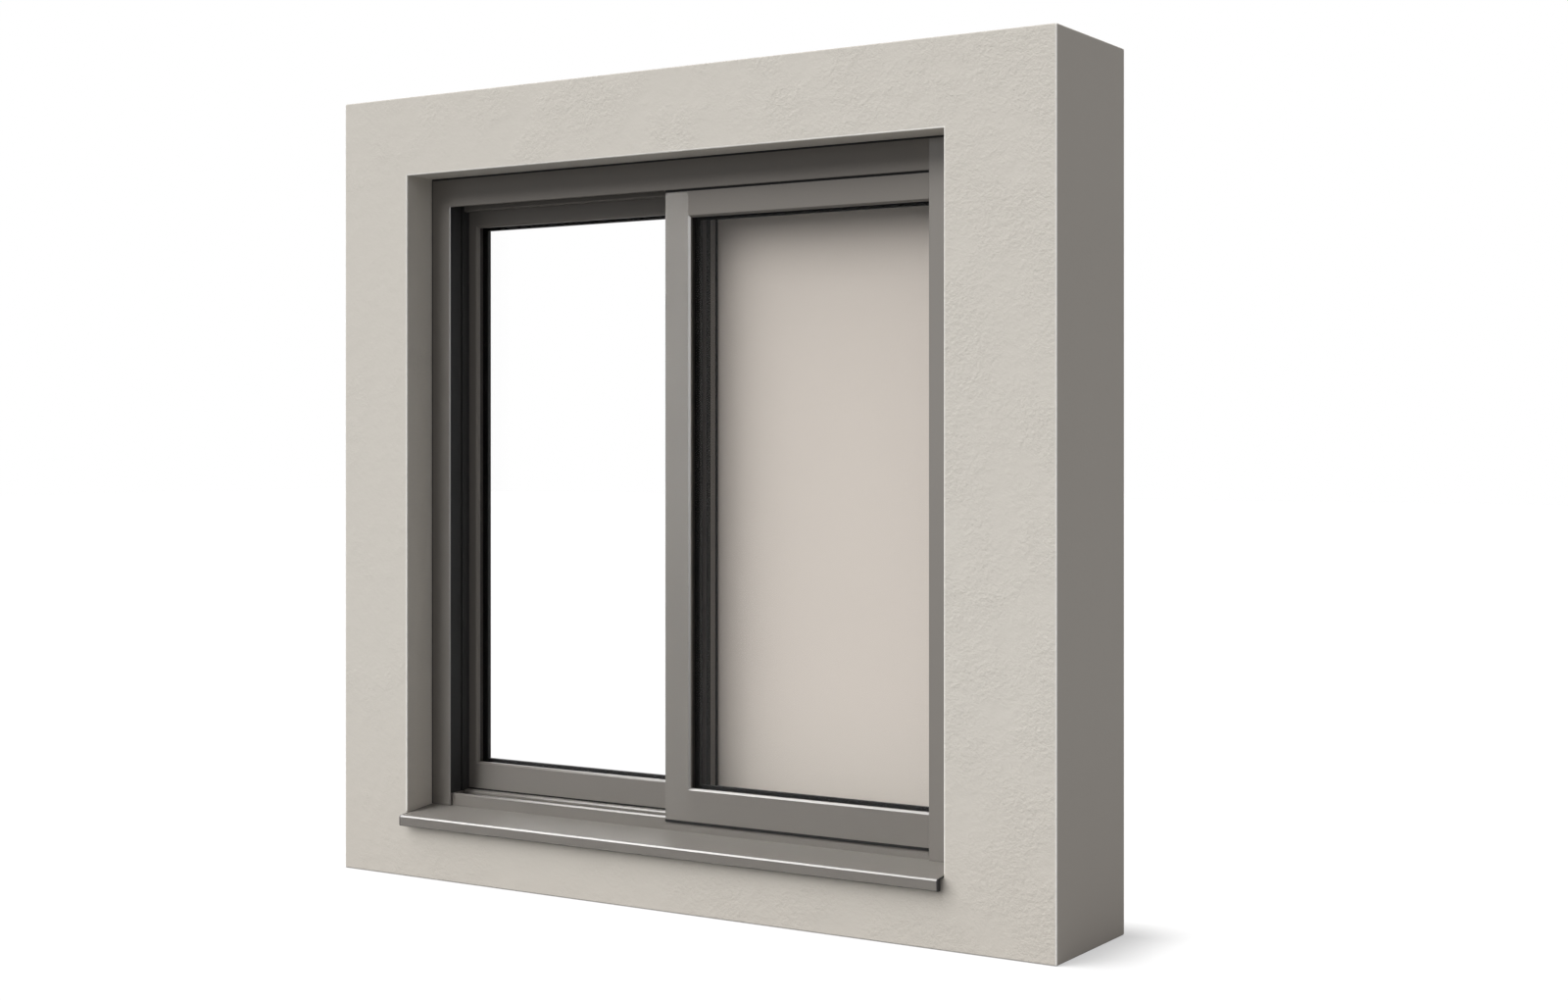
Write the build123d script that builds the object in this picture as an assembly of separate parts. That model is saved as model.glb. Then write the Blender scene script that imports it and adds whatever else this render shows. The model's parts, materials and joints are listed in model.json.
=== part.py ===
from build123d import *
import os

# Two-track sliding window set in a free-standing block of rendered wall.
# Millimetres. X runs to the right as seen from outside, Y runs inwards, Z up.
# Sections are drawn with Y measured from the outer wall face and moved at the
# end, so that the origin lies at the middle of the block's bottom face.

# Wall block
wall_width = 1575.0
wall_height = 1540.0
wall_depth = 275.0
opening_width = 1200.0
opening_left_margin = 166.0
opening_bottom = 131.5
opening_top = 1385.0
inner_splay = 30.0

# Frame extrusions
reveal_depth = 72.0
joint_width = 4.0
seal_setback = 2.0
seal_depth = 10.0
profile_wall = 1.8
web_depth = 8.0
left_jamb_face = 45.0
left_jamb_inner_leg = 26.0
right_jamb_face = 63.5
head_face = 54.5
head_rib_drop = 5.0
mid_rib_depth = 15.0
lane_clearance = 1.5
leg_bevel = 1.2
rib_round = 2.5

# Cover of the left jamb's outer lane
cover_groove_width = 5.0
cover_groove_depth = 4.0
cover_groove_setback = 5.0
cover_tongue = 1.2

# Track sill
skirt_clearance = 1.2
deck_height = 14.3
front_upstand = 10.5
front_upstand_width = 4.0
mid_upstand = 12.0
upstand_bevel = 2.6
back_upstand = 18.0
track_rib_width = 6.0
track_rib_height = 7.0
track_cap = 1.0
track_cap_skirt = 5.0
end_block = 8.0
end_block_clearance = 0.5

# Sashes
sash_depth = 38.0
stile_width = 56.0
stile_clearance = 2.0
top_rail_height = 48.5
bottom_rail_height = 52.5
lip_width = 16.0
lip_depth = 9.0
lip_bevel = 3.5
sash_arris = 2.0
top_arris = 1.5
sash_lift = 15.0
skirt_drop = 8.5
front_sash_gap = 4.0
rear_sash_entry = 11.0
guide_width = 10.0
guide_height = 18.0
roller_slot_width = 18.0
roller_slot_height = 22.0

# Glazing
gasket_depth = 2.0
pane_thickness = 4.0
pane_gap = 10.0
glass_cover = 13.0
spacer_width = 7.0
bead_overlap = 4.0
bead_clearance = 0.3

# Rollers
roller_radius = 11.0
roller_groove = 2.0
roller_width = 12.0
roller_groove_clearance = 0.3
roller_pin_radius = 2.5
roller_inset = 90.0

# Interlock between the meeting stiles
hook_wall = 1.8
hook_reach = 14.0
hook_leg = 22.0
hook_overlap = 6.0

# Weather seals
pile_width = 5.0
pile_setback = 4.5
pile_clearance = 0.2
wiper_height = 5.0
wiper_width = 2.6
wiper_setback = 0.2
top_seal_height = 7.0
top_seal_width = 4.0

# Flush pull on the inner face of the rear sash
pull_height = 160.0
pull_width = 18.0
pull_rim = 3.0
pull_plate = 1.5
pull_cup_depth = 12.0
pull_cup_wall = 1.5
pull_cut_clearance = 0.2

# Outer window sill
sill_sheet = 2.0
sill_slope_drop = 10.5
sill_projection = 22.0
sill_nose_height = 20.5
sill_nose_return = 8.0
sill_nose_round = 3.0
sill_nose_bevel = 2.5
sill_cap = 2.0
sill_cap_return = 11.0

# Levels and places that follow from the driving sizes
opening_left = -wall_width / 2 + opening_left_margin
opening_right = opening_left + opening_width
opening_middle = opening_left + opening_width / 2
frame_left = opening_left + joint_width
frame_right = opening_right - joint_width
frame_top = opening_top - joint_width
left_jamb_edge = frame_left + left_jamb_face
left_back_leg = frame_left + left_jamb_inner_leg
right_jamb_edge = frame_right - right_jamb_face
clear_width = right_jamb_edge - left_jamb_edge
lane_depth = sash_depth + 2 * lane_clearance
front_lane = reveal_depth + profile_wall
mid_rib = front_lane + lane_depth
rear_lane = mid_rib + mid_rib_depth
back_leg = rear_lane + lane_depth
frame_back = back_leg + profile_wall
front_face = front_lane + lane_clearance
rear_face = rear_lane + lane_clearance
track_front = front_face + profile_wall + skirt_clearance
frame_bottom = opening_bottom + sill_sheet
deck_top = frame_bottom + deck_height
front_upstand_top = deck_top + front_upstand
sash_bottom = deck_top + sash_lift
head_edge = frame_top - head_face
tube_depth_gap = lip_depth + 2 * gasket_depth + 2 * pane_thickness + pane_gap
bead_depth = sash_depth - tube_depth_gap
rail_top = deck_top + track_rib_height + track_cap
sill_slope = sill_slope_drop / (track_front + sill_projection)
sill_nose_top = frame_bottom - sill_slope_drop
sill_nose_foot = sill_nose_top - sill_nose_height
bed_front = opening_bottom - sill_slope * track_front


def rectangle(low_u, low_v, high_u, high_v):
    """Axis-aligned rectangle between two corners of a section."""
    centre = ((low_u + high_u) / 2, (low_v + high_v) / 2)
    return Pos(*centre) * Rectangle(high_u - low_u, high_v - low_v)


def outline(*points):
    """Closed face through the given corners of a section."""
    return make_face(Polyline(*points, close=True))


def round_corners(section, corners, radius):
    """Round the section's vertices that lie at the given corners."""
    near = [v for v in section.vertices() for c in corners if abs(v.X - c[0]) + abs(v.Y - c[1]) < 0.01]
    return fillet(near, radius)


def bevel_corners(section, corners, size):
    """Cut the section's vertices that lie at the given corners at 45 degrees."""
    near = [v for v in section.vertices() for c in corners if abs(v.X - c[0]) + abs(v.Y - c[1]) < 0.01]
    return chamfer(near, size)


def along_x(section, start, end):
    """Extrude a (depth, height) section from one X to another."""
    plane = Plane(origin=(start, 0, 0), x_dir=(0, 1, 0), z_dir=(1, 0, 0))
    return extrude(plane * section, end - start)


def along_z(section, start, end):
    """Extrude an (x, depth) section from one level to another."""
    return extrude(Plane.XY.offset(start) * section, end - start)


def along_y(section, start, end):
    """Extrude an (x, height) section from one depth to another."""
    plane = Plane(origin=(0, start, 0), x_dir=(1, 0, 0), z_dir=(0, -1, 0))
    return extrude(plane * section, start - end)


def ring(outer, inner):
    """Rectangular ring between two (low_u, low_v, high_u, high_v) boxes."""
    return rectangle(*outer) - rectangle(*inner)


def save(name, *solids):
    """Write one node, moved so that the wall's mid-depth lies at Y = 0."""
    moved = [Pos(0, -wall_depth / 2, 0) * solid for solid in solids]
    shape = moved[0] if len(moved) == 1 else Compound(children=moved)
    export_step(shape, f"parts/{name}.step")


# Wall block: a base, two piers, a lintel and the wall that backs the right half
def wall_base():
    half = wall_width / 2
    block = along_x(rectangle(0, 0, wall_depth, opening_bottom), -half, half)
    bed = outline((0, bed_front), (track_front, opening_bottom), (0, opening_bottom))
    return block - along_x(bed, opening_left, opening_right)


def wall_left_pier():
    half = wall_width / 2
    plan = outline((-half, 0), (opening_left, 0), (opening_left, frame_back),
                   (opening_left - inner_splay, wall_depth), (-half, wall_depth))
    return along_z(plan, opening_bottom, opening_top)


def wall_right_pier():
    plan = rectangle(opening_right, 0, wall_width / 2, wall_depth)
    return along_z(plan, opening_bottom, opening_top)


def wall_niche_back():
    plan = outline((opening_middle, frame_back), (opening_right, frame_back), (opening_right, wall_depth),
                   (opening_middle + inner_splay, wall_depth))
    return along_z(plan, opening_bottom, opening_top)


def wall_lintel():
    half = wall_width / 2
    return along_x(rectangle(0, opening_top, wall_depth, wall_height), -half, half)


# Frame extrusions: a hollow web with a front leg, a hollow rib between the two
# lanes and a back leg. The reach of each leg is measured from the outer edge.
def channel_section(front_reach, rib_reach, back_reach):
    wall = profile_wall
    section = outline(
        (0, reveal_depth), (front_reach, reveal_depth), (front_reach, front_lane), (web_depth, front_lane),
        (web_depth, mid_rib), (rib_reach, mid_rib), (rib_reach, rear_lane), (web_depth, rear_lane),
        (web_depth, back_leg), (back_reach, back_leg), (back_reach, frame_back), (0, frame_back))
    section = bevel_corners(section, [(front_reach, reveal_depth), (back_reach, frame_back)], leg_bevel)
    section = round_corners(section, [(rib_reach, mid_rib), (rib_reach, rear_lane)], rib_round)
    section -= rectangle(wall, reveal_depth + wall, web_depth - wall, frame_back - wall)
    section -= rectangle(web_depth + wall, mid_rib + wall, rib_reach - wall, rear_lane - wall)
    return section


def frame_left_jamb():
    section = channel_section(left_jamb_face, left_jamb_face - cover_tongue, left_jamb_inner_leg)
    return along_z(Pos(frame_left, 0) * section, frame_bottom, frame_top)


def frame_right_jamb():
    section = mirror(channel_section(right_jamb_face, right_jamb_face, right_jamb_face), Plane.YZ)
    return along_z(Pos(frame_right, 0) * section, frame_bottom, frame_top)


def head_ear(edge, outward):
    """Tapered end of the head's front leg that fills the bevel of a jamb's leg."""
    tip = edge + outward * leg_bevel
    taper = outline((tip, reveal_depth), (edge, reveal_depth), (edge, reveal_depth + leg_bevel))
    leg = rectangle(reveal_depth, head_edge, front_lane, frame_top)
    leg = bevel_corners(leg, [(reveal_depth, head_edge)], leg_bevel)
    return along_z(taper, head_edge, frame_top) & along_x(leg, min(tip, edge), max(tip, edge))


# The left jamb's back leg is short, so the head and the track sill carry theirs on to it
def frame_head():
    section = channel_section(head_face, head_face + head_rib_drop, head_face)
    plane = Plane(origin=(left_jamb_edge, 0, frame_top), x_dir=(0, 0, -1), z_dir=(1, 0, 0))
    head = extrude(plane * section, clear_width)
    head += along_x(rectangle(back_leg, head_edge, frame_back, frame_top), left_back_leg, left_jamb_edge)
    return head + head_ear(left_jamb_edge, -1) + head_ear(right_jamb_edge, 1)


# Unused outer lane of the left jamb, closed by a clipped-in cover with a shadow groove.
# It stands on the track sill's end block, and its tongue wraps the rib between the lanes.
def left_jamb_cover():
    inner = frame_left + web_depth
    edge = left_jamb_edge
    groove_front = edge - cover_groove_depth
    groove_back = mid_rib - cover_groove_setback
    section = rectangle(inner, front_lane, edge, mid_rib)
    section -= rectangle(inner, front_lane + profile_wall, groove_front - profile_wall, mid_rib - profile_wall)
    section -= rectangle(groove_front, groove_back - cover_groove_width, edge, groove_back)
    tongue = rectangle(edge - cover_tongue, mid_rib, edge, rear_lane)
    return along_z(section, front_upstand_top, frame_top) + along_z(tongue, frame_bottom, frame_top)


def frame_sill():
    low = frame_bottom
    wall = profile_wall
    front_rib = front_face + sash_depth / 2
    rear_rib = rear_face + sash_depth / 2
    section = rectangle(track_front, low, frame_back, deck_top)
    section += rectangle(track_front, low, track_front + front_upstand_width, front_upstand_top)
    section += rectangle(mid_rib, low, rear_lane, deck_top + mid_upstand)
    section += rectangle(back_leg, low, frame_back, deck_top + back_upstand)
    for middle in (front_rib, rear_rib):
        half = track_rib_width / 2
        section += rectangle(middle - half, low, middle + half, deck_top + track_rib_height)
    tips = [(track_front, front_upstand_top), (mid_rib, deck_top + mid_upstand)]
    section = bevel_corners(section, tips, upstand_bevel)
    for start, end in ((track_front, mid_rib), (rear_lane, frame_back)):
        section -= rectangle(start + wall, low + wall, end - wall, deck_top - wall)
    section -= rectangle(mid_rib + wall, low + wall, rear_lane - wall, deck_top + mid_upstand - wall)
    sill = along_x(section, left_jamb_edge, right_jamb_edge)
    block = rectangle(front_lane, low, mid_rib - end_block_clearance, front_upstand_top)
    sill += along_x(block, left_jamb_edge - end_block, left_jamb_edge)
    leg = rectangle(back_leg, low, frame_back, deck_top + back_upstand)
    return sill + along_x(leg, left_back_leg, left_jamb_edge)


# Bright running rail clipped over a track rib
def track_rail(face):
    middle = face + sash_depth / 2
    inner = track_rib_width / 2
    outer = inner + track_cap
    rib_top = deck_top + track_rib_height
    section = rectangle(middle - outer, rail_top - track_cap_skirt, middle + outer, rail_top)
    section -= rectangle(middle - inner, rail_top - track_cap_skirt, middle + inner, rib_top)
    return along_x(section, left_jamb_edge, right_jamb_edge)


def perimeter_sealant(start):
    outer = rectangle(opening_left, frame_bottom, opening_right, opening_top)
    inner = rectangle(frame_left, frame_bottom, frame_right, frame_top)
    return along_y(outer - inner, start, start + seal_depth)


# Sheet sill: a level flange under the frame, a sloping pan, and a turned-down
# nose with a returned drip edge
def window_sill():
    nose = -sill_projection
    sheet = sill_sheet
    inner_top = (nose + sheet, sill_nose_top - sheet + sill_slope * sheet)
    section = outline(
        (frame_back, frame_bottom), (track_front, frame_bottom), (nose, sill_nose_top), (nose, sill_nose_foot),
        (nose + sill_nose_return, sill_nose_foot), (nose + sill_nose_return, sill_nose_foot + sheet),
        (nose + sheet, sill_nose_foot + sheet), inner_top,
        (track_front, opening_bottom), (frame_back, opening_bottom))
    section = bevel_corners(section, [(nose, sill_nose_top)], sill_nose_bevel)
    section = round_corners(section, [(nose, sill_nose_foot)], sill_nose_round)
    section = round_corners(section, [inner_top, (nose + sheet, sill_nose_foot + sheet)], sill_nose_round - sheet)
    return along_x(section, opening_left + sill_cap, opening_right - sill_cap)


def sill_end_cap(start):
    nose = -sill_projection
    rise = sill_slope * (track_front - reveal_depth)
    heel = nose + sill_cap_return
    heel_top = bed_front + sill_slope * heel
    section = outline((reveal_depth, frame_bottom - rise), (nose, sill_nose_top), (nose, sill_nose_foot),
                      (heel, sill_nose_foot), (heel, heel_top), (reveal_depth, opening_bottom - rise))
    section = bevel_corners(section, [(nose, sill_nose_top)], sill_nose_bevel)
    section = round_corners(section, [(nose, sill_nose_foot)], sill_nose_round)
    return along_x(section, start, start + sill_cap)


# Sash extrusions. Each member is a tube with a bevelled glazing lip on its outer side.
# In a section, u runs from the sash's outer edge to the glass and v inwards.
def member_outline(width, arrises, radius):
    """Outer line of a sash member, without its hollows."""
    tube = width - lip_width
    section = outline((0, 0), (width, 0), (width, lip_depth), (tube, lip_depth), (tube, sash_depth), (0, sash_depth))
    section = round_corners(section, arrises, radius)
    return bevel_corners(section, [(width, 0)], lip_bevel)


def lip_hollow(width):
    """Hollow of the glazing lip, which leaves an even wall behind the bevel."""
    wall = profile_wall
    hollow = rectangle(width - lip_width, wall, width - wall, lip_depth - wall)
    return bevel_corners(hollow, [(width - wall, wall)], lip_bevel - wall * (2 - 2 ** 0.5))


def stile_outline():
    return member_outline(stile_width, [(0, 0), (0, sash_depth)], sash_arris)


def tube_section(section, width):
    wall = profile_wall
    tube = rectangle(wall, wall, width - lip_width - wall, sash_depth - wall)
    return section - tube - lip_hollow(width)


def roller_rail_section(height):
    wall = profile_wall
    slot_near = (sash_depth - roller_slot_width) / 2
    slot_far = slot_near + roller_slot_width
    section = member_outline(height, [(0, sash_depth)], sash_arris)
    section -= rectangle(0, slot_near, roller_slot_height, slot_far)
    section -= rectangle(roller_slot_height + wall, wall, height - lip_width - wall, sash_depth - wall)
    return section - lip_hollow(height)


class Sash:
    """Places of one sash: its outer box, its face and its daylight opening."""

    def __init__(self, left, right, bottom, top, face):
        self.left = left
        self.right = right
        self.bottom = bottom
        self.top = top
        self.face = face
        self.light = (left + stile_width, bottom + bottom_rail_height, right - stile_width, top - top_rail_height)

    def grown(self, by):
        """Box that lies outside the daylight opening by a margin."""
        low_x, low_z, high_x, high_z = self.light
        return (low_x - by, low_z - by, high_x + by, high_z + by)

    def at_edge(self, section, side):
        """Turn a stile's section to the left or right edge of the sash."""
        if side == "right":
            return Pos(self.right, self.face) * mirror(section, Plane.YZ)
        return Pos(self.left, self.face) * section

    def stile(self, side, drop):
        """A full-height stile; its skin runs down past its foot as part of the skirt."""
        section = tube_section(stile_outline(), stile_width)
        stile = along_z(self.at_edge(section, side), self.bottom, self.top)
        if drop:
            skin = section & rectangle(0, 0, stile_width, profile_wall)
            stile += along_z(self.at_edge(skin, side), self.bottom - drop, self.bottom)
        arris = (self.face + top_arris, self.top - top_arris)
        waste = rectangle(self.face, arris[1], arris[0], self.top) - Pos(*arris) * Circle(top_arris)
        return stile - along_x(waste, self.left, self.right)

    def coped(self, rail, drop):
        """Cut a rail's ends to the line of the stiles that it butts against."""
        for side in ("left", "right"):
            rail -= along_z(self.at_edge(stile_outline(), side), self.bottom - drop, self.top)
        return rail

    def top_rail(self, guide):
        start, _, end, _ = self.grown(lip_width)
        section = member_outline(top_rail_height, [(0, 0)], top_arris)
        section = tube_section(section, top_rail_height)
        plane = Plane(origin=(start, self.face, self.top), x_dir=(0, 0, -1), z_dir=(1, 0, 0))
        rail = self.coped(extrude(plane * section, end - start), 0)
        if guide:
            middle = self.face + sash_depth / 2
            half = guide_width / 2
            fin = rectangle(middle - half, self.top, middle + half, self.top + guide_height)
            rail += along_x(fin, self.light[0], self.light[2])
        return rail

    def bottom_rail(self, drop):
        start, _, end, _ = self.grown(lip_width)
        section = roller_rail_section(bottom_rail_height)
        plane = Plane(origin=(end, self.face, self.bottom), x_dir=(0, 0, 1), z_dir=(-1, 0, 0))
        rail = extrude(plane * section, end - start)
        if drop:
            skirt = rectangle(self.face, self.bottom - drop, self.face + profile_wall, self.bottom)
            rail += along_x(skirt, start, end)
        return self.coped(rail, drop)

    def panes(self):
        first = self.face + lip_depth + gasket_depth
        second = first + pane_thickness + pane_gap
        sheet = rectangle(*self.grown(glass_cover))
        return [along_y(sheet, start, start + pane_thickness) for start in (first, second)]

    def spacer(self):
        start = self.face + lip_depth + gasket_depth + pane_thickness
        section = ring(self.grown(glass_cover), self.grown(glass_cover - spacer_width))
        return along_y(section, start, start + pane_gap)

    def gaskets(self):
        outer = self.face + lip_depth
        inner = self.face + tube_depth_gap - gasket_depth
        outer_ring = ring(self.grown(lip_width), self.grown(0))
        inner_ring = ring(self.grown(lip_width), self.grown(-bead_overlap))
        return [along_y(outer_ring, outer, outer + gasket_depth), along_y(inner_ring, inner, inner + gasket_depth)]

    def beads(self):
        start = self.face + tube_depth_gap
        end = self.face + sash_depth
        low_x, low_z, high_x, high_z = self.grown(lip_width)
        in_x, in_z, out_x, out_z = self.grown(-bead_overlap)
        bars = (rectangle(low_x, low_z, high_x, in_z), rectangle(low_x, out_z, high_x, high_z),
                rectangle(low_x, in_z + bead_clearance, in_x, out_z - bead_clearance),
                rectangle(out_x, in_z + bead_clearance, high_x, out_z - bead_clearance))
        return [along_y(bar, start, end) for bar in bars]

    def rollers(self):
        groove = roller_radius - roller_groove
        centre_z = rail_top + groove
        middle = self.face + sash_depth / 2
        half = roller_width / 2
        seat = track_rib_width / 2 + track_cap + roller_groove_clearance
        pin = roller_slot_width / 2
        profile = outline(
            (0, -pin), (roller_pin_radius, -pin), (roller_pin_radius, -half), (roller_radius, -half),
            (roller_radius, -seat), (groove, -seat), (groove, seat), (roller_radius, seat), (roller_radius, half),
            (roller_pin_radius, half), (roller_pin_radius, pin), (0, pin))
        wheel = revolve(profile, Axis.Y)
        places = (self.left + stile_width + roller_inset, self.right - stile_width - roller_inset)
        return [Pos(x, middle, centre_z) * wheel for x in places]


meeting_left = opening_middle - stile_width / 2
meeting_right = opening_middle + stile_width / 2
rear_sash = Sash(frame_left + web_depth + stile_clearance, meeting_right, sash_bottom,
                 head_edge + rear_sash_entry, rear_face)
front_sash = Sash(meeting_left, frame_right - web_depth - stile_clearance, sash_bottom,
                  head_edge - front_sash_gap, front_face)


# Hooked interlock: the front hook opens to the right and the rear hook to the left
def interlock(back_face, x_fin, direction, inward):
    toward = 1 if inward else -1
    tip = back_face + toward * hook_reach
    leg_near = tip - toward * hook_wall
    fin_far = x_fin + direction * hook_wall
    leg_far = x_fin + direction * hook_leg
    section = outline((x_fin, back_face), (fin_far, back_face), (fin_far, leg_near), (leg_far, leg_near),
                      (leg_far, tip), (x_fin, tip))
    return along_z(section, sash_bottom, head_edge - head_rib_drop - front_sash_gap)


def front_interlock():
    x_fin = opening_middle + hook_overlap / 2 - hook_leg
    return interlock(front_face + sash_depth, x_fin, 1, True)


def rear_interlock():
    x_fin = opening_middle - hook_overlap / 2 + hook_leg
    return interlock(rear_face, x_fin, -1, False)


# Weather seals: a rubber wiper under the front edge of each sash, a fin on the front
# sash's top edge, and pile strips on the legs that each sash runs behind
def wiper(sash, drop):
    start = sash.face + wiper_setback
    top = sash.bottom - drop
    section = rectangle(start, top - wiper_height, start + wiper_width, top)
    return along_x(section, sash.left, sash.right)


def front_sash_top_seal():
    start = front_face + sash_arris
    top = front_sash.top
    section = rectangle(start, top, start + top_seal_width, top + top_seal_height)
    return along_x(section, front_sash.left, front_sash.right)


def pile_seals():
    reach = lane_clearance - pile_clearance
    left_tip = left_jamb_edge - pile_setback
    back_tip = left_back_leg - pile_setback
    right_tip = right_jamb_edge + pile_setback
    head_tip = head_edge + pile_setback
    rear_jamb = (rectangle(left_tip - pile_width, rear_lane, left_tip, rear_lane + reach),
                 rectangle(back_tip - pile_width, back_leg - reach, back_tip, back_leg))
    front_jamb = (rectangle(right_tip, front_lane, right_tip + pile_width, front_lane + reach),
                  rectangle(right_tip, mid_rib - reach, right_tip + pile_width, mid_rib))
    head = (rectangle(rear_lane, head_tip, rear_lane + reach, head_tip + pile_width),
            rectangle(back_leg - reach, head_tip, back_leg, head_tip + pile_width))
    strips = [along_z(strip, rear_sash.bottom, rear_sash.top) for strip in rear_jamb]
    strips += [along_z(strip, front_sash.bottom, front_sash.top) for strip in front_jamb]
    strips += [along_x(strip, left_jamb_edge, rear_sash.right) for strip in head]
    return strips


# Flush pull: a round-ended plate whose cup sinks through a slot into the stile's hollow
pull_middle = (left_back_leg + rear_sash.left + stile_width - lip_width) / 2
pull_level = (rear_sash.bottom + rear_sash.top) / 2


def pull_slot(inset):
    """Round-ended outline of the pull, drawn in by an inset."""
    slot = SlotOverall(pull_height - 2 * inset, pull_width - 2 * inset, rotation=90)
    return Pos(pull_middle, pull_level) * slot


def rear_sash_pull():
    back = rear_face + sash_depth
    floor = back - pull_cup_depth
    body = along_y(pull_slot(0), back, back + pull_plate) + along_y(pull_slot(pull_rim), floor, back)
    hollow = along_y(pull_slot(pull_rim + pull_cup_wall), floor + pull_cup_wall, back + pull_plate)
    return body - hollow


def pull_cut():
    back = rear_face + sash_depth
    return along_y(pull_slot(pull_rim - pull_cut_clearance), back - profile_wall, back)


os.makedirs("parts", exist_ok=True)

save("wall_base", wall_base())
save("wall_left_pier", wall_left_pier())
save("wall_right_pier", wall_right_pier())
save("wall_niche_back", wall_niche_back())
save("wall_lintel", wall_lintel())
save("frame_left_jamb", frame_left_jamb())
save("frame_right_jamb", frame_right_jamb())
save("frame_head", frame_head())
save("frame_sill", frame_sill())
save("left_jamb_cover", left_jamb_cover())
save("front_track_rail", track_rail(front_face))
save("rear_track_rail", track_rail(rear_face))
save("perimeter_sealant", perimeter_sealant(reveal_depth + seal_setback),
     perimeter_sealant(frame_back - seal_depth))
save("window_sill", window_sill())
save("sill_end_cap_left", sill_end_cap(opening_left))
save("sill_end_cap_right", sill_end_cap(opening_right - sill_cap))
save("pile_seals", *pile_seals())
save("front_sash_wiper", wiper(front_sash, skirt_drop))
save("rear_sash_wiper", wiper(rear_sash, 0))
save("front_sash_top_seal", front_sash_top_seal())
save("rear_sash_pull", rear_sash_pull())
save("front_interlock", front_interlock())
save("rear_interlock", rear_interlock())
for name, sash, is_front in (("front_sash", front_sash, True), ("rear_sash", rear_sash, False)):
    drop = skirt_drop if is_front else 0
    left_stile = sash.stile("left", drop)
    save(f"{name}_left_stile", left_stile if is_front else left_stile - pull_cut())
    save(f"{name}_right_stile", sash.stile("right", drop))
    save(f"{name}_top_rail", sash.top_rail(is_front))
    save(f"{name}_bottom_rail", sash.bottom_rail(drop))
    save(f"{name}_panes", *sash.panes())
    save(f"{name}_spacer", sash.spacer())
    save(f"{name}_gaskets", *sash.gaskets())
    save(f"{name}_beads", *sash.beads())
    save(f"{name}_rollers", *sash.rollers())
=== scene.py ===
# %% [markdown]
# # A sliding window in a piece of rendered wall
#
# The object is a block of wall, plastered all round, with a grey aluminium window in it. Two
# glazed sashes run on two parallel tracks. The metal pieces are exact sections that come from the
# CAD model, so they only need finishes here. The plaster is the one thing that sheets and
# extrusions can't give, so the wall is modelled again as one soft-edged block.
#
# We load the CAD model first and keep its box, because nothing that is added may outgrow it.

# %% Load the frame
import json
import math

import bmesh
import bpy
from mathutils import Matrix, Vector


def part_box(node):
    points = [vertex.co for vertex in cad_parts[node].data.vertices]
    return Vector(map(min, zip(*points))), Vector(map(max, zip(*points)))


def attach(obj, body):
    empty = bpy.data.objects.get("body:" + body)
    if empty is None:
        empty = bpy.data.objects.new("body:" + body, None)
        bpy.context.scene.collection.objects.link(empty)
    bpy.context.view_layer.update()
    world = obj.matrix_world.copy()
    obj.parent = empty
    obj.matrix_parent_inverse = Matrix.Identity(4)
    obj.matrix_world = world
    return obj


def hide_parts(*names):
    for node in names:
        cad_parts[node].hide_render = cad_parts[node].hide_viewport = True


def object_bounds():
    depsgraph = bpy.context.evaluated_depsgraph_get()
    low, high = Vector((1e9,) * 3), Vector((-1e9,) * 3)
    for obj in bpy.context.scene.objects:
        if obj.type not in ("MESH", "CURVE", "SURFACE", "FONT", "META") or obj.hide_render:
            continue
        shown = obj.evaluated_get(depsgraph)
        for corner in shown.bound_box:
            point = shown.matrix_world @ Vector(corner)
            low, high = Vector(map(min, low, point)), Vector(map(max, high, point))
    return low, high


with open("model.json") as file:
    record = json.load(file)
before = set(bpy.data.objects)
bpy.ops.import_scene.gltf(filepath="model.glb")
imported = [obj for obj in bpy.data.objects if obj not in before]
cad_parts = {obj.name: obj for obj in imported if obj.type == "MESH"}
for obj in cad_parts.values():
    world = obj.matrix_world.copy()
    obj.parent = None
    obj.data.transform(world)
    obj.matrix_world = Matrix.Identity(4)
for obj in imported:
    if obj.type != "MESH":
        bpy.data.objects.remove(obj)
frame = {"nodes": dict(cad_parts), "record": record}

MM = 0.001
cad_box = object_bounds()
print("CAD nodes:", len(frame["nodes"]))

# %% [markdown]
# ## The camera
#
# The photograph is a two-point perspective: its uprights are parallel, so the camera is level and
# the picture is slid up with a lens shift instead of tilting. The place and the lens were worked
# out from the corners of the block.

# %% Camera
IMAGE_WIDTH = 1600
FOCAL_PIXELS = 2213.8
SENSOR_WIDTH = 36.0
HORIZON_ABOVE_CENTRE = 51.8
CAMERA_PLACE = (2.3019, -3.3683, 0.844)
CAMERA_TURN = math.radians(32.281)

camera_data = bpy.data.cameras.new("photo_camera")
camera_data.sensor_width = SENSOR_WIDTH
camera_data.lens = FOCAL_PIXELS / IMAGE_WIDTH * SENSOR_WIDTH
camera_data.shift_y = -HORIZON_ABOVE_CENTRE / IMAGE_WIDTH
camera = bpy.data.objects.new("photo_camera", camera_data)
camera.location = CAMERA_PLACE
camera.rotation_euler = (math.pi / 2, 0, CAMERA_TURN)
bpy.context.scene.collection.objects.link(camera)
bpy.context.scene.camera = camera
bpy.context.scene.view_settings.view_transform = "Standard"
print("lens:", round(camera_data.lens, 2), "mm")

# %% [markdown]
# ## Shader maths as plain sums
#
# A finish is a small network of nodes. Placing nodes by hand is slow to read, so two short classes
# do it. A `Signal` is an output socket that can stand in a Python sum: each operator adds one Math
# node. A `Finish` is the network itself, and its one method makes every other kind of node.

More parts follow.
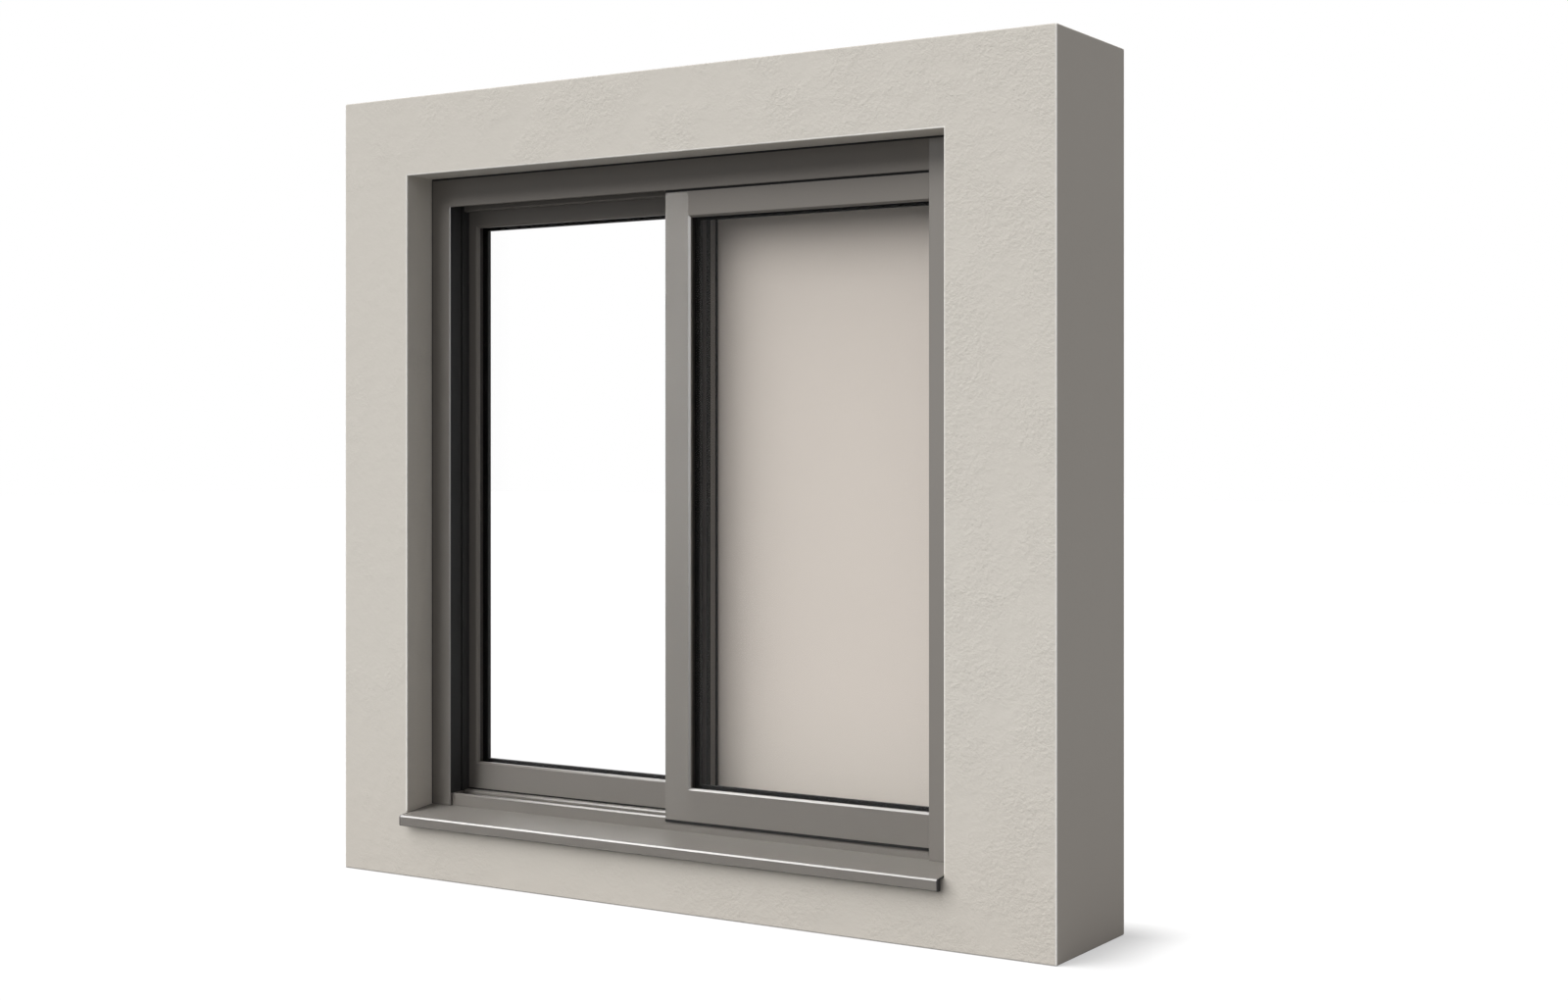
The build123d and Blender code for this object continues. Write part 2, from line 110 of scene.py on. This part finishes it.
# %% Signals and finishes
class Signal:
    """An output socket that can be used in sums."""

    def __init__(self, finish, socket):
        self.finish = finish
        self.socket = socket

    def math(self, operation, first, second):
        return self.finish.node("ShaderNodeMath", {"operation": operation}, {0: first, 1: second})

    def __add__(self, other):
        return self.math("ADD", self, other)

    def __sub__(self, other):
        return self.math("SUBTRACT", self, other)

    def __rsub__(self, other):
        return self.math("SUBTRACT", other, self)

    def __mul__(self, other):
        return self.math("MULTIPLY", self, other)

    def __lt__(self, other):
        return self.math("LESS_THAN", self, other)

    def __or__(self, other):
        return self.math("MAXIMUM", self, other)

    def __abs__(self):
        return self.math("ABSOLUTE", self, 0.0)

    __radd__ = __add__
    __rmul__ = __mul__


class Finish:
    """A node network, with one method that adds any node to it."""

    def __init__(self, owner):
        owner.use_nodes = True
        self.owner = owner
        self.tree = owner.node_tree
        self.tree.nodes.clear()

    def node(self, kind, settings=None, sockets=None, output=0):
        made = self.tree.nodes.new(kind)
        for name, value in (settings or {}).items():
            setattr(made, name, value)
        for name, value in (sockets or {}).items():
            if isinstance(value, Signal):
                self.tree.links.new(value.socket, made.inputs[name])
            else:
                made.inputs[name].default_value = value
        return Signal(self, made.outputs[output]) if made.outputs else None


print("shader maths: ready")

# %% [markdown]
# ## Floor and background
#
# The picture has a pure white surround and one faint shadow on the floor. Turning the lamps up
# until the floor burns out would spoil the object, so the floor and the sky are told to look white
# only to the camera and to rays that mirror or pass through glass. Everything else meets a dim,
# even sky.

# %% World
AMBIENT = (0.310, 0.300, 0.304, 1.0)
WHITE = (1.0, 1.0, 1.0, 1.0)
FIRST_SCATTER = 1.0


def seen_directly(finish):
    """1 for rays that show the surround to the eye, straight, mirrored or through glass."""
    shown = finish.node("ShaderNodeLightPath", output="Is Camera Ray")
    mirrored = finish.node("ShaderNodeLightPath", output="Is Glossy Ray")
    passed = finish.node("ShaderNodeLightPath", output="Is Transmission Ray")
    scattered = finish.node("ShaderNodeLightPath", output="Diffuse Depth")
    return (shown | mirrored | passed) * (scattered < FIRST_SCATTER)


sky = Finish(bpy.data.worlds.new("white_studio"))
dim_sky = sky.node("ShaderNodeBackground", sockets={"Color": AMBIENT})
white_sky = sky.node("ShaderNodeBackground", sockets={"Color": WHITE})
both_skies = sky.node("ShaderNodeMixShader", sockets={0: seen_directly(sky), 1: dim_sky, 2: white_sky})
sky.node("ShaderNodeOutputWorld", sockets={"Surface": both_skies})
bpy.context.scene.world = sky.owner
print("ambient:", AMBIENT)

# %% Floor
FLOOR_SIZE = 60.0
FLOOR_GAP = 0.3 * MM
FLOOR_SHOWN = (0.30, 0.30, 0.30, 1.0)
FLOOR_BOUNCE = (0.14, 0.14, 0.14, 1.0)
FLOOR_GLOW = 0.50


def floor_finish():
    paint = Finish(bpy.data.materials.new("pale_floor"))
    bounce = paint.node("ShaderNodeBsdfDiffuse", sockets={"Color": FLOOR_BOUNCE})
    shown = paint.node("ShaderNodeBsdfDiffuse", sockets={"Color": FLOOR_SHOWN})
    glow = paint.node("ShaderNodeEmission", sockets={"Color": WHITE, "Strength": FLOOR_GLOW})
    pale = paint.node("ShaderNodeAddShader", sockets={0: shown, 1: glow})
    both = paint.node("ShaderNodeMixShader", sockets={0: seen_directly(paint), 1: bounce, 2: pale})
    paint.node("ShaderNodeOutputMaterial", sockets={"Surface": both})
    return paint.owner


def new_object(name, shape):
    """Turn a finished bmesh into an object whose place is in its mesh."""
    mesh = bpy.data.meshes.new(name)
    shape.to_mesh(mesh)
    shape.free()
    made = bpy.data.objects.new(name, mesh)
    bpy.context.scene.collection.objects.link(made)
    return made


ground = bmesh.new()
bmesh.ops.create_grid(ground, x_segments=1, y_segments=1, size=FLOOR_SIZE / 2)
bmesh.ops.translate(ground, verts=ground.verts, vec=(0, 0, cad_box[0][2] - FLOOR_GAP))
floor = new_object("floor", ground)
floor.data.materials.append(floor_finish())
print("floor:", FLOOR_SIZE, "m square")

# %% [markdown]
# ## The rendered wall
#
# On a building this is masonry with a coat of fine render. In the CAD model it is five plain
# blocks, and their joints would show as lines that no plasterer leaves. So one piece stands for
# all five: a cube cut by planes along the edges of the opening, pushed in where the window sits,
# and then bevelled, because a render arris is rubbed round with a sponge.

# %% Wall sizes from the frame
ROUGHLY = 0.1 * MM


def corners(node):
    """The corner points of a CAD node."""
    return [vertex.co for vertex in frame["nodes"][node].data.vertices]


base_low, base_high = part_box("wall_base")
pier_low, pier_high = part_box("wall_left_pier")
wall_front = base_low.y
wall_back = base_high.y
wall_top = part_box("wall_lintel")[1].z
opening_left = pier_high.x
opening_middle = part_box("wall_niche_back")[0].x
opening_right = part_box("wall_right_pier")[0].x
opening_bottom = pier_low.z
opening_top = pier_high.z
frame_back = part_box("frame_left_jamb")[1].y
splay_left = max(c.x for c in corners("wall_left_pier") if c.y > wall_back - MM)
splay_right = min(c.x for c in corners("wall_niche_back") if c.y > wall_back - MM)
bed_front = max(c.z for c in corners("wall_base") if c.y < wall_front + MM and c.z < base_high.z - MM)
bed_back = min(c.y for c in corners("wall_base") if c.y > wall_front + MM and c.z > base_high.z - ROUGHLY)
print("opening:", [round(v, 4) for v in (opening_left, opening_right, opening_bottom, opening_top)])
print("inner splay:", round(splay_left, 4), round(splay_right, 4))
print("bed under the sill:", round(bed_front, 4), round(bed_back, 4))

# %% Block with its opening
FACING = 0.9


def cut(shape, place, normal):
    """Slice every face of a shape along a plane and keep both sides."""
    everything = shape.verts[:] + shape.edges[:] + shape.faces[:]
    bmesh.ops.bisect_plane(shape, geom=everything, plane_co=place, plane_no=normal)


def push_in(shape, faces, depth):
    """Extrude faces and lay the new ones at a depth; returns the new faces."""
    grown = bmesh.ops.extrude_face_region(shape, geom=faces)["geom"]
    bmesh.ops.delete(shape, geom=faces, context="FACES")
    for item in grown:
        if isinstance(item, bmesh.types.BMVert):
            item.co.y = depth
    return [item for item in grown if isinstance(item, bmesh.types.BMFace)]


def in_opening(face, side):
    """True for a face of the wall's front (-1) or back (1) that lies inside the opening."""
    middle = face.calc_center_median()
    across = opening_left < middle.x < opening_right
    return face.normal.y * side > FACING and across and opening_bottom < middle.z < opening_top


def cut_block():
    shape = bmesh.new()
    bmesh.ops.create_cube(shape, size=1.0)
    low = Vector((base_low.x, wall_front, base_low.z))
    high = Vector((base_high.x, wall_back, wall_top))
    bmesh.ops.scale(shape, vec=high - low, verts=shape.verts)
    bmesh.ops.translate(shape, vec=(low + high) / 2, verts=shape.verts)
    for x in (opening_left, opening_middle, opening_right):
        cut(shape, (x, 0, 0), (1, 0, 0))
    for z in (opening_bottom, opening_top):
        cut(shape, (0, 0, z), (0, 0, 1))
    shape.normal_update()
    return shape


def open_window(shape):
    """Push the opening in: half of it as a niche, the other half right through."""
    back_cells = [f for f in shape.faces if in_opening(f, 1) and f.calc_center_median().x < opening_middle]
    mouth = [f for f in shape.faces if in_opening(f, -1)]
    lip = [v for v in {v for f in mouth for v in f.verts} if v.co.z < opening_bottom + ROUGHLY]
    seat = push_in(shape, mouth, bed_back)
    for vertex in lip:
        vertex.co.z = bed_front
    niche = push_in(shape, seat, frame_back)
    left_half = [f for f in niche if f.calc_center_median().x < opening_middle]
    tunnel = push_in(shape, left_half, wall_back)
    for vertex in {v for f in tunnel + back_cells for v in f.verts}:
        vertex.co.x = splay_left if vertex.co.x < opening_left + ROUGHLY else splay_right
    bmesh.ops.delete(shape, geom=tunnel + back_cells, context="FACES_ONLY")
    bmesh.ops.remove_doubles(shape, verts=shape.verts, dist=ROUGHLY)
    bmesh.ops.recalc_face_normals(shape, faces=shape.faces)


block = cut_block()
open_window(block)
print("block faces:", len(block.faces))

# %% Rubbed arrises
ARRIS = 2.6 * MM
ARRIS_STEPS = 3
SHARP_CORNER = math.radians(40)
WALL_NODES = ("wall_base", "wall_left_pier", "wall_right_pier", "wall_niche_back", "wall_lintel")


def round_arrises(shape, radius, steps):
    outer = [e for e in shape.edges if e.is_convex and e.calc_face_angle(0.0) > SHARP_CORNER]
    bmesh.ops.bevel(shape, geom=outer, offset=radius, offset_type="OFFSET", segments=steps, profile=0.5,
                    affect="EDGES", material=-1, clamp_overlap=True)


def soft_shading(piece):
    """Smooth the rounded arrises and keep the wide faces flat."""
    for face in piece.data.polygons:
        face.use_smooth = True
    piece.data.set_sharp_from_angle(angle=SHARP_CORNER)
    flat = piece.modifiers.new("flat_faces", "WEIGHTED_NORMAL")
    flat.keep_sharp = True


round_arrises(block, ARRIS, ARRIS_STEPS)
wall = new_object("rendered_wall", block)
soft_shading(wall)
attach(wall, "root")
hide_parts(*WALL_NODES)
print("wall faces:", len(wall.data.polygons))

# %% [markdown]
# ## Brush strips at the meeting stile
#
# Where the rear sash passes the wall, its stile carries two slim draught strips, which show through
# the front glass as dark upright lines. Their near-black pile also paints the dark lines of shade
# in the gaps beside the stile. A brush strip is a flat backing with a narrower pile along its
# middle. So each starts as a thin box sunk a little into the stile's side. Its outer face is
# inset and pulled out for the pile, and then its edges are bevelled.

# %% Brush strips
BACKING_SUNK = 0.4 * MM
BACKING_RISE = 0.4 * MM
PILE_RISE = 0.6 * MM
PILE_MARGIN = 1.2 * MM
STRIP_BEVEL = 0.15 * MM
STRIP_END = 30 * MM
FRONT_STRIP = 13.5 * MM
BACK_STRIP = 8 * MM
rear_low, rear_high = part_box("rear_sash_right_stile")


def strip_shape(low, high):
    """A backing between two corners, with the pile raised along its right face."""
    shape = bmesh.new()
    bmesh.ops.create_cube(shape, size=1.0)
    bmesh.ops.scale(shape, vec=high - low, verts=shape.verts)
    bmesh.ops.translate(shape, vec=(low + high) / 2, verts=shape.verts)
    shape.normal_update()
    outer = [f for f in shape.faces if f.normal.x > FACING]
    bmesh.ops.inset_region(shape, faces=outer, thickness=PILE_MARGIN, use_even_offset=True)
    pile = bmesh.ops.extrude_face_region(shape, geom=outer)["geom"]
    bmesh.ops.delete(shape, geom=outer, context="FACES")
    raised = [item for item in pile if isinstance(item, bmesh.types.BMVert)]
    bmesh.ops.translate(shape, vec=(PILE_RISE, 0, 0), verts=raised)
    bmesh.ops.bevel(shape, geom=shape.edges[:], offset=STRIP_BEVEL, offset_type="OFFSET", segments=1,
                    profile=0.5, affect="EDGES", material=-1, clamp_overlap=True)
    bmesh.ops.recalc_face_normals(shape, faces=shape.faces)
    return shape


def brush_strip(name, front, back):
    """A strip on the right side of the rear sash, between two depths."""
    low = Vector((rear_high.x - BACKING_SUNK, front, rear_low.z + STRIP_END))
    high = Vector((rear_high.x + BACKING_RISE, back, rear_high.z - STRIP_END))
    strip = new_object(name, strip_shape(low, high))
    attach(strip, "root")
    return strip


# Both strips are partly painted shade: their dark pile stands in for the shade lines beside the stile.
brush_strips = [brush_strip("front_brush_strip", rear_low.y, rear_low.y + FRONT_STRIP),
                brush_strip("back_brush_strip", rear_high.y - BACK_STRIP, rear_high.y)]
print("brush strip faces:", [len(strip.data.polygons) for strip in brush_strips])

# %% [markdown]
# ## Fine render
#
# The render is a sand-and-lime coat floated smooth. Close up it has a grain of a few millimetres,
# slow waves from the float, and patches where the sand was rubbed up more. The grain is far too
# fine for geometry, so it is a bump. The colour drifts a little from patch to patch, as it does
# when a wall dries. Towards the foot the colour is painted darker, which is painted shade. The face
# at the back of the niche gets a warmer, slightly lighter colour, which is painted light that lifts
# its shade behind the glass. That face and the two ends were trowelled rather than floated, so they
# have little grain. A pale band along each front edge of the opening and of the block is a painted
# highlight on the arrises.

# %% Helpers for finishes
MIX_FACTOR = 0
MIX_FIRST = 6
MIX_SECOND = 7
MIX_RESULT = 2


def mix_colours(paint, share, first, second):
    """Blend two colours by a share from 0 to 1."""
    return paint.node("ShaderNodeMix", {"data_type": "RGBA"},
                      {MIX_FACTOR: share, MIX_FIRST: first, MIX_SECOND: second}, MIX_RESULT)


def noise(paint, place, scale, detail, roughness=0.5):
    return paint.node("ShaderNodeTexNoise",
                      sockets={"Vector": place, "Scale": scale, "Detail": detail, "Roughness": roughness})


def ramp(paint, value, low, high):
    """Stretch the values between low and high to the range from 0 to 1."""
    return paint.node("ShaderNodeMapRange", {"clamp": True},
                      {"Value": value, "From Min": low, "From Max": high, "To Min": 0.0, "To Max": 1.0})


def object_place(paint):
    return paint.node("ShaderNodeTexCoord", output="Object")


def coordinate(paint, place, axis):
    return paint.node("ShaderNodeSeparateXYZ", sockets={"Vector": place}, output=axis)


def bump(paint, height, relief):
    return paint.node("ShaderNodeBump", sockets={"Height": height, "Distance": relief})


def surface(paint, sockets):
    """Close a finish with one Principled shader."""
    shader = paint.node("ShaderNodeBsdfPrincipled", sockets=sockets)
    paint.node("ShaderNodeOutputMaterial", sockets={"Surface": shader})
    return paint.owner


print("helpers for finishes: ready")

# %% Masks on the wall
# EDGE_BAND is the width of the painted highlight on the front edges, and the tolerance for the block's
# ends.
EDGE_BAND = 2.6 * MM
NICHE_BAND = 2 * MM


def outside_opening(x, z):
    """How far a point lies outside the opening; negative inside it."""
    across = abs(x - (opening_left + opening_right) / 2) - (opening_right - opening_left) / 2
    upward = abs(z - (opening_top + opening_bottom) / 2) - (opening_top - opening_bottom) / 2
    return across | upward


def niche_face(x, y, z):
    """1 on the wall face behind the front sash."""
    return (abs(y - frame_back) < NICHE_BAND) * (outside_opening(x, z) < -NICHE_BAND)


def block_end(x):
    """1 at the two ends of the block."""
    return abs(abs(x) - base_high.x) < EDGE_BAND


def painted_edge_highlight(x, y, z):
    """1 on the front edges of the opening and of the block, in the band that gets a painted highlight."""
    at_opening = abs(outside_opening(x, z)) < EDGE_BAND
    return (at_opening | block_end(x)) * (y < wall_front + EDGE_BAND)


# This prints the width of the painted edge highlight.
print("corner bead:", EDGE_BAND / MM, "mm")

# %% Render finish
RENDER_PALE = (0.655, 0.625, 0.568, 1.0)
RENDER_WARM = (0.610, 0.581, 0.525, 1.0)
# Painted light: the back face of the niche is coloured warmer and a little lighter, to lift its shade.
RENDER_NICHE_PAINTED_LIGHT = (0.672, 0.615, 0.555, 1.0)
# Painted shade: the colour towards the foot of the wall.
RENDER_FOOT_SHADE = (0.602, 0.566, 0.508, 1.0)
# Painted highlight: the pale colour along the front edges.
RENDER_EDGE_HIGHLIGHT = (0.930, 0.910, 0.860, 1.0)
RENDER_GLOSS = 0.2
RENDER_ROUGH = 0.88
SAND_ROUGH = 0.08
SAND_TINT = 0.4
PATCH_SCALE = 2.2
RUB_SCALE = 9.0
RUB_DRIFT = 0.15
RUB_LOW = 0.40
RUB_HIGH = 0.65
SAND_SCALE = 150.0
WAVE_SCALE = 38.0
FOOT_SHADE_HEIGHT = 400 * MM
UNRUBBED_SAND = 0.15
WAVE_SHARE = 0.5
TROWELLED_LOSS = 0.85
GRAIN_RELIEF = 2.0 * MM


def render_finish():
    paint = Finish(bpy.data.materials.new("fine_render"))
    place = object_place(paint)
    x, y, z = [coordinate(paint, place, axis) for axis in "XYZ"]
    patches = noise(paint, place, PATCH_SCALE, detail=3.0)
    rubbed = ramp(paint, noise(paint, place, RUB_SCALE, detail=3.0) + x * RUB_DRIFT, RUB_LOW, RUB_HIGH)
    sand = noise(paint, place, SAND_SCALE, detail=4.0, roughness=0.6)
    waves = noise(paint, place, WAVE_SCALE, detail=2.0)
    niche = niche_face(x, y, z)
    foot_shade = ramp(paint, z, FOOT_SHADE_HEIGHT, 0.0)
    colour = mix_colours(paint, patches * (1 - SAND_TINT) + sand * SAND_TINT, RENDER_PALE, RENDER_WARM)
    # Painted light on the niche's back face.
    colour = mix_colours(paint, niche, colour, RENDER_NICHE_PAINTED_LIGHT)
    # Painted shade, darker towards the foot.
    colour = mix_colours(paint, foot_shade, colour, RENDER_FOOT_SHADE)
    # Painted highlight along the front edges.
    colour = mix_colours(paint, painted_edge_highlight(x, y, z), colour, RENDER_EDGE_HIGHLIGHT)
    trowelled = niche | block_end(x)
    grain = sand * (UNRUBBED_SAND + (1 - UNRUBBED_SAND) * rubbed) + waves * WAVE_SHARE
    relief = grain * (1 - TROWELLED_LOSS * trowelled)
    return surface(paint, {
        "Base Color": colour, "Roughness": RENDER_ROUGH + SAND_ROUGH * sand,
        "Specular IOR Level": RENDER_GLOSS, "Normal": bump(paint, relief, GRAIN_RELIEF)})


wall.data.materials.append(render_finish())
print("wall finish:", wall.data.materials[0].name)

# %% [markdown]
# ## Powder coat
#
# Every metal piece that shows is powder coated: a warm mid grey with a satin face and a faint
# orange peel from the baked powder. Faces that look up are painted paler, partly as a film of dust
# and partly as painted light from above, which shows most on the sill. The mask for this is the
# upward part of the surface's normal.

# %% Coat
COAT_GREY = (0.212, 0.198, 0.180, 1.0)
COAT_SHADE = (0.190, 0.177, 0.161, 1.0)
# Dust and painted light: the paler colour of faces that look up.
COAT_DUST_AND_TOP_LIGHT = (0.300, 0.282, 0.258, 1.0)
LOW_GLOSS = 0.15
SATIN_ROUGH = 0.28
PEEL_ROUGH = 0.08
FILM_ROUGH = 0.3
PEEL_TINT = 0.4
DRIFT_SCALE = 4.0
PEEL_SCALE = 900.0
PEEL_RELIEF = 0.05 * MM
FILM_SCALE = 24.0
FILM_LEAST = 0.5
STEEP = 0.75
LEVEL = 0.98


def looks_up(paint):
    """1 on level faces, 0 on upright ones."""
    normal = paint.node("ShaderNodeNewGeometry", output="Normal")
    return ramp(paint, coordinate(paint, normal, "Z"), STEEP, LEVEL)


def powder_coat(name, dust_and_top_light_share):
    paint = Finish(bpy.data.materials.new(name))
    place = object_place(paint)
    drift = noise(paint, place, DRIFT_SCALE, detail=2.0)
    peel = noise(paint, place, PEEL_SCALE, detail=2.0)
    # Faces that look up are painted paler: partly dust, partly painted light from above.
    dust_and_top_light = looks_up(paint) * (FILM_LEAST + noise(paint, place, FILM_SCALE, detail=4.0)) * dust_and_top_light_share
    coat = mix_colours(paint, drift * (1 - PEEL_TINT) + peel * PEEL_TINT, COAT_GREY, COAT_SHADE)
    return surface(paint, {
        "Base Color": mix_colours(paint, dust_and_top_light, coat, COAT_DUST_AND_TOP_LIGHT),
        "Roughness": SATIN_ROUGH + PEEL_ROUGH * peel + FILM_ROUGH * dust_and_top_light, "Specular IOR Level": LOW_GLOSS,
        "Normal": bump(paint, peel, PEEL_RELIEF)})


print("coat:", COAT_GREY)

# %% [markdown]
# ## Trim, rubber, steel and glass
#
# Trims and seals inside the frame are near black, with a dusty bloom. The spacers between the panes
# are dark bronze. The track rails are rolled strip, so their streaks run along their length. The
# glass is clear float glass. Its shader lets lamps and scattered light straight through, because a ray
# tracer would otherwise treat the pane as a dark wall between lamp and niche. Coated glass mirrors
# little, so its index is kept low.

# %% Trim and rubber
MATT_ROUGH = 0.55
BLOOM_ROUGH = 0.2


def grey(level):
    """A neutral colour of one level."""
    return (level, level, level, 1.0)


def matt_dark(name, deep, bloom, grain, relief):
    """Rubber, pile, nylon and dark trim: a deep colour with a dusty bloom in its grain."""
    paint = Finish(bpy.data.materials.new(name))
    dust = noise(paint, object_place(paint), grain, detail=4.0, roughness=0.65)
    return surface(paint, {
        "Base Color": mix_colours(paint, dust, deep, bloom), "Roughness": MATT_ROUGH + BLOOM_ROUGH * dust,
        "Specular IOR Level": LOW_GLOSS, "Normal": bump(paint, dust, relief)})


print("trim and rubber: ready")

# %% Rolled strip and glass
GLASS_INDEX = 1.12
ALONG_RAIL = (0.02, 1.0, 1.0)
STREAK_SCALE = 1600.0
STREAK_ROUGH = 0.15
STREAK_RELIEF = 0.03 * MM


def rolled_strip(name, pale, deep, roughness):
    """Rolled metal: streaks stretched along the length of the rail."""
    paint = Finish(bpy.data.materials.new(name))
    along = paint.node("ShaderNodeMapping", sockets={"Vector": object_place(paint), "Scale": ALONG_RAIL})
    streaks = noise(paint, along, STREAK_SCALE, detail=3.0, roughness=0.6)
    return surface(paint, {
        "Base Color": mix_colours(paint, streaks, grey(pale), grey(deep)), "Metallic": 1.0,
        "Roughness": roughness + STREAK_ROUGH * streaks, "Normal": bump(paint, streaks, STREAK_RELIEF)})


def clear_glass():
    paint = Finish(bpy.data.materials.new("float_glass"))
    pane = paint.node("ShaderNodeBsdfPrincipled", sockets={
        "Base Color": WHITE, "Roughness": 0.0, "IOR": GLASS_INDEX, "Transmission Weight": 1.0})
    open_air = paint.node("ShaderNodeBsdfTransparent", sockets={"Color": WHITE})
    for kind_of_ray in ("Is Shadow Ray", "Is Diffuse Ray"):
        share = paint.node("ShaderNodeLightPath", output=kind_of_ray)
        pane = paint.node("ShaderNodeMixShader", sockets={0: share, 1: pane, 2: open_air})
    paint.node("ShaderNodeOutputMaterial", sockets={"Surface": pane})
    return paint.owner


print("glass index:", GLASS_INDEX)

# %% Finishes on the CAD nodes
SPACER_DEEP = (0.050, 0.045, 0.040, 1.0)
SPACER_BLOOM = (0.068, 0.062, 0.055, 1.0)
finishes = {
    "frame_coat": powder_coat("grey_powder_coat", dust_and_top_light_share=0.3),
    "sill_coat": powder_coat("sill_powder_coat", dust_and_top_light_share=0.35),
    "dark_trim": matt_dark("charcoal_trim", grey(0.033), grey(0.045), grain=420.0, relief=0.05 * MM),
    "gasket_rubber": matt_dark("gasket_rubber", grey(0.012), grey(0.022), grain=260.0, relief=0.08 * MM),
    "seal_pile": matt_dark("seal_pile", grey(0.010), grey(0.030), grain=1400.0, relief=0.5 * MM),
    "joint_sealant": matt_dark("joint_sealant", grey(0.030), grey(0.045), grain=120.0, relief=0.2 * MM),
    "roller_nylon": matt_dark("roller_nylon", grey(0.025), grey(0.040), grain=300.0, relief=0.05 * MM),
    "spacer_metal": matt_dark("bronze_spacer", SPACER_DEEP, SPACER_BLOOM, grain=500.0, relief=0.02 * MM),
    "track_steel": rolled_strip("rolled_rail", pale=0.60, deep=0.46, roughness=0.25),
    "clear_glass": clear_glass(),
}
for part in frame["record"]["subparts"]:
    if part["material_slot"] in finishes:
        node_mesh = frame["nodes"][part["node"]].data
        node_mesh.materials.clear()
        node_mesh.materials.append(finishes[part["material_slot"]])
for strip in brush_strips:
    strip.data.materials.append(finishes["seal_pile"])
print("finishes:", sorted(finishes))

# %% [markdown]
# ## Light
#
# One broad lamp from the upper left gives the soft shadows under the lintel and behind the left
# jamb. The wall gets an even broader twin of it, which fills the niche behind the glass. A lamp from
# behind keeps the back readable, and the pieces in front are sheltered from what comes through the
# left pane. The floor has a lamp of its own, nearly overhead, so that its shadow stays short. Light
# linking tells a lamp which objects it may light, and which may throw its shadow.

# %% Lamps
def sun(name, azimuth, height, strength, softness):
    """A distant lamp, in degrees; azimuth 0 stands in front of the window and turns towards +X."""
    lamp = bpy.data.lights.new(name, "SUN")
    lamp.energy = strength
    lamp.angle = math.radians(softness)
    holder = bpy.data.objects.new(name, lamp)
    holder.rotation_euler = (math.pi / 2 - math.radians(height), 0, math.radians(azimuth))
    bpy.context.scene.collection.objects.link(holder)
    return holder


def group_of(objects, state):
    """A list for a lamp: only these objects (INCLUDE), or all the others (EXCLUDE)."""
    group = bpy.data.collections.new("lamp_list")
    for listed in objects:
        group.objects.link(listed)
    for entry in group.collection_objects:
        entry.light_linking.link_state = state
    return group


key_lamp = sun("key_lamp", azimuth=-32, height=39, strength=3.05, softness=32)
key_lamp.light_linking.receiver_collection = group_of([floor, wall], "EXCLUDE")
wall_lamp = sun("wall_lamp", azimuth=-29, height=39.5, strength=3.0, softness=75)
wall_lamp.light_linking.receiver_collection = group_of([wall], "INCLUDE")
front_nodes = [node for name, node in frame["nodes"].items() if name.startswith("front_")]
sheltered = [floor, frame["nodes"]["window_sill"]] + front_nodes
back_lamp = sun("back_lamp", azimuth=205, height=40, strength=2.0, softness=60)
back_lamp.light_linking.receiver_collection = group_of(sheltered, "EXCLUDE")
floor_lamp = sun("floor_lamp", azimuth=-48, height=86.8, strength=4.7, softness=5)
floor_lamp.light_linking.receiver_collection = group_of([floor], "INCLUDE")
floor_lamp.light_linking.blocker_collection = group_of([wall], "INCLUDE")
print("lamps:", len(bpy.data.lights))

# %% [markdown]
# Satin metal also needs something to mirror. A photographer stands narrow strip lights around it,
# and so do we: lamps that only mirrored rays can see, so they draw the bevelled edges and nothing
# else. Each strip stands where the bevels that face one way send the camera's view. The left strip
# is mirrored by flat faces, so only the uprights that stand forward get it.

# %% Strip lights
STILES = ["front_sash_left_stile", "front_sash_right_stile"]
RAILS = ["front_sash_bottom_rail", "rear_sash_bottom_rail", "frame_sill"]
SILL = ["window_sill"]


def strip_light(name, nodes, azimuth, height, strength, softness):
    """A lamp that shows only in mirrored rays, and only on some CAD nodes."""
    strip = sun(name, azimuth, height, strength, softness)
    strip.visible_diffuse = False
    strip.visible_transmission = False
    strip.light_linking.receiver_collection = group_of([frame["nodes"][n] for n in nodes], "INCLUDE")
    strip.light_linking.blocker_collection = group_of([floor], "EXCLUDE")


strip_light("left_strip", STILES + ["frame_right_jamb"], azimuth=-38, height=3, strength=1.0, softness=12)
strip_light("right_strip", STILES + ["frame_left_jamb"], azimuth=57, height=6, strength=5.5, softness=18)
strip_light("rail_strip", RAILS, azimuth=-73, height=54, strength=9.0, softness=26)
strip_light("sill_strip", SILL, azimuth=-65, height=51, strength=9.0, softness=24)
print("strip lights on:", len(STILES + RAILS + SILL), "nodes")
